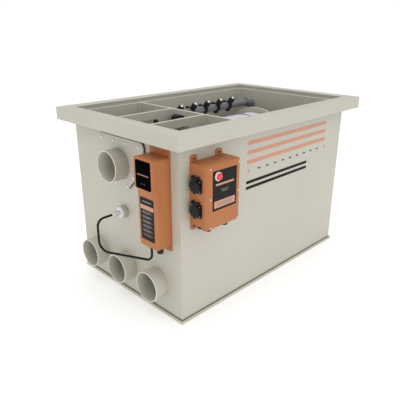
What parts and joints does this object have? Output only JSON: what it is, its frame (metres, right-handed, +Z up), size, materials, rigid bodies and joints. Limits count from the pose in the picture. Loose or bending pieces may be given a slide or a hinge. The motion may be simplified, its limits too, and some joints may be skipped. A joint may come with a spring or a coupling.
{
  "type": "pond drum filter",
  "caption": "Open-top welded tank with chambers, a screening drum rinsed by a spray bar, an ultraviolet lamp and wall-mounted control boxes, fed through pipe stubs.",
  "frame": {"origin": "centre of the base plate's underside", "axes": "+Y along the tank away from the pipe wall, +X towards the wall with the control box, +Z up"},
  "size_m": [0.7512, 1.1617, 0.694],
  "materials": {
    "tank_plastic": "satin polypropylene sheet, warm pale grey",
    "grey_pvc": "satin grey PVC",
    "bearing_plastic": "natural polyethylene",
    "seal_rubber": "black rubber",
    "stainless": "stainless steel",
    "black_plastic": "fine-grained black plastic",
    "motor_paint": "dull red-brown paint",
    "orange_plastic": "satin copper orange",
    "gloss_black": "gloss black window",
    "white_plastic": "white nylon",
    "clear_grey_plastic": "cloudy grey nylon",
    "quartz": "clear quartz",
    "red_plastic": "red button"
  },
  "bodies": {
    "tank": {"base_plate": "tank_plastic", "front_wall": "tank_plastic", "rear_wall": "tank_plastic", "left_wall": "tank_plastic", "right_wall": "tank_plastic", "rim_frame": "tank_plastic", "cross_divider": "tank_plastic", "left_divider": "tank_plastic", "right_divider": "tank_plastic", "inlet_stubs": "tank_plastic", "outlet_plate": "tank_plastic", "outlet_gasket": "seal_rubber", "outlet_screws": "stainless", "outlet_stub": "tank_plastic", "waste_pipe": "tank_plastic", "waste_trough": "tank_plastic", "drum_collar": "tank_plastic", "bearing_band": "bearing_plastic", "drum_seal": "seal_rubber", "drum_axle": "stainless", "axle_bracket": "tank_plastic", "motor_gearbox": "black_plastic", "motor_can": "motor_paint", "dark_screws": "black_plastic", "bar_bracket": "black_plastic", "spray_elbow": "grey_pvc", "riser_pipe": "grey_pvc", "rinse_pump": "black_plastic", "driver_back": "orange_plastic", "driver_housing": "orange_plastic", "driver_screen": "gloss_black", "cable_glands": "black_plastic", "lamp_socket": "tank_plastic", "lamp_ring": "white_plastic", "lamp_gland": "clear_grey_plastic", "quartz_sleeve": "quartz", "uv_lamp": "quartz", "lamp_cable": "seal_rubber", "control_tray": "orange_plastic", "control_cover": "orange_plastic", "cover_screws": "stainless", "button_ring": "white_plastic", "socket_bases": "black_plastic", "level_sensor": "black_plastic"},
    "drum": {"drum_near_ring": "tank_plastic", "drum_gear": "bearing_plastic", "drum_cage": "stainless", "drum_mesh": "stainless", "drum_end_disc": "tank_plastic", "drum_hub": "grey_pvc", "hub_bush": "bearing_plastic"},
    "drive": {"drive_pinion": "bearing_plastic", "motor_shaft": "stainless"},
    "sprayer": {"spray_bar": "grey_pvc", "spray_end_cap": "grey_pvc", "nozzle_clamps": "black_plastic", "spray_nozzles": "black_plastic"},
    "reset": {"reset_button": "red_plastic"},
    "upper_lid": {"upper_socket_lid": "black_plastic"},
    "lower_lid": {"lower_socket_lid": "black_plastic"}
  },
  "joints": [
    {"name": "drum_spin", "type": "hinge", "parent": "tank", "child": "drum", "pos_m": [0, 0.28, 0.428], "axis": [0, 1, 0], "continuous": true},
    {"name": "pinion_spin", "type": "hinge", "parent": "tank", "child": "drive", "pos_m": [-0.04, -0.19, 0.63823], "axis": [0, 1, 0], "continuous": true},
    {"name": "spray_swivel", "type": "hinge", "parent": "tank", "child": "sprayer", "pos_m": [-0.15, 0.38, 0.633], "axis": [0, 1, 0], "range_deg": [0, 95]},
    {"name": "reset_press", "type": "slide", "parent": "tank", "child": "reset", "axis": [-1, 0, 0], "range_m": [0, 0.004], "stiffness_N_per_m": 500},
    {"name": "upper_lid_hinge", "type": "hinge", "parent": "tank", "child": "upper_lid", "pos_m": [0.337, -0.459, 0.545], "axis": [-1, 0, 0], "range_deg": [0, 110]},
    {"name": "lower_lid_hinge", "type": "hinge", "parent": "tank", "child": "lower_lid", "pos_m": [0.337, -0.459, 0.46], "axis": [-1, 0, 0], "range_deg": [0, 110]}
  ],
  "couplings": [
    {"joint": "pinion_spin", "follows": "drum_spin", "ratio": -6.1333}
  ]
}
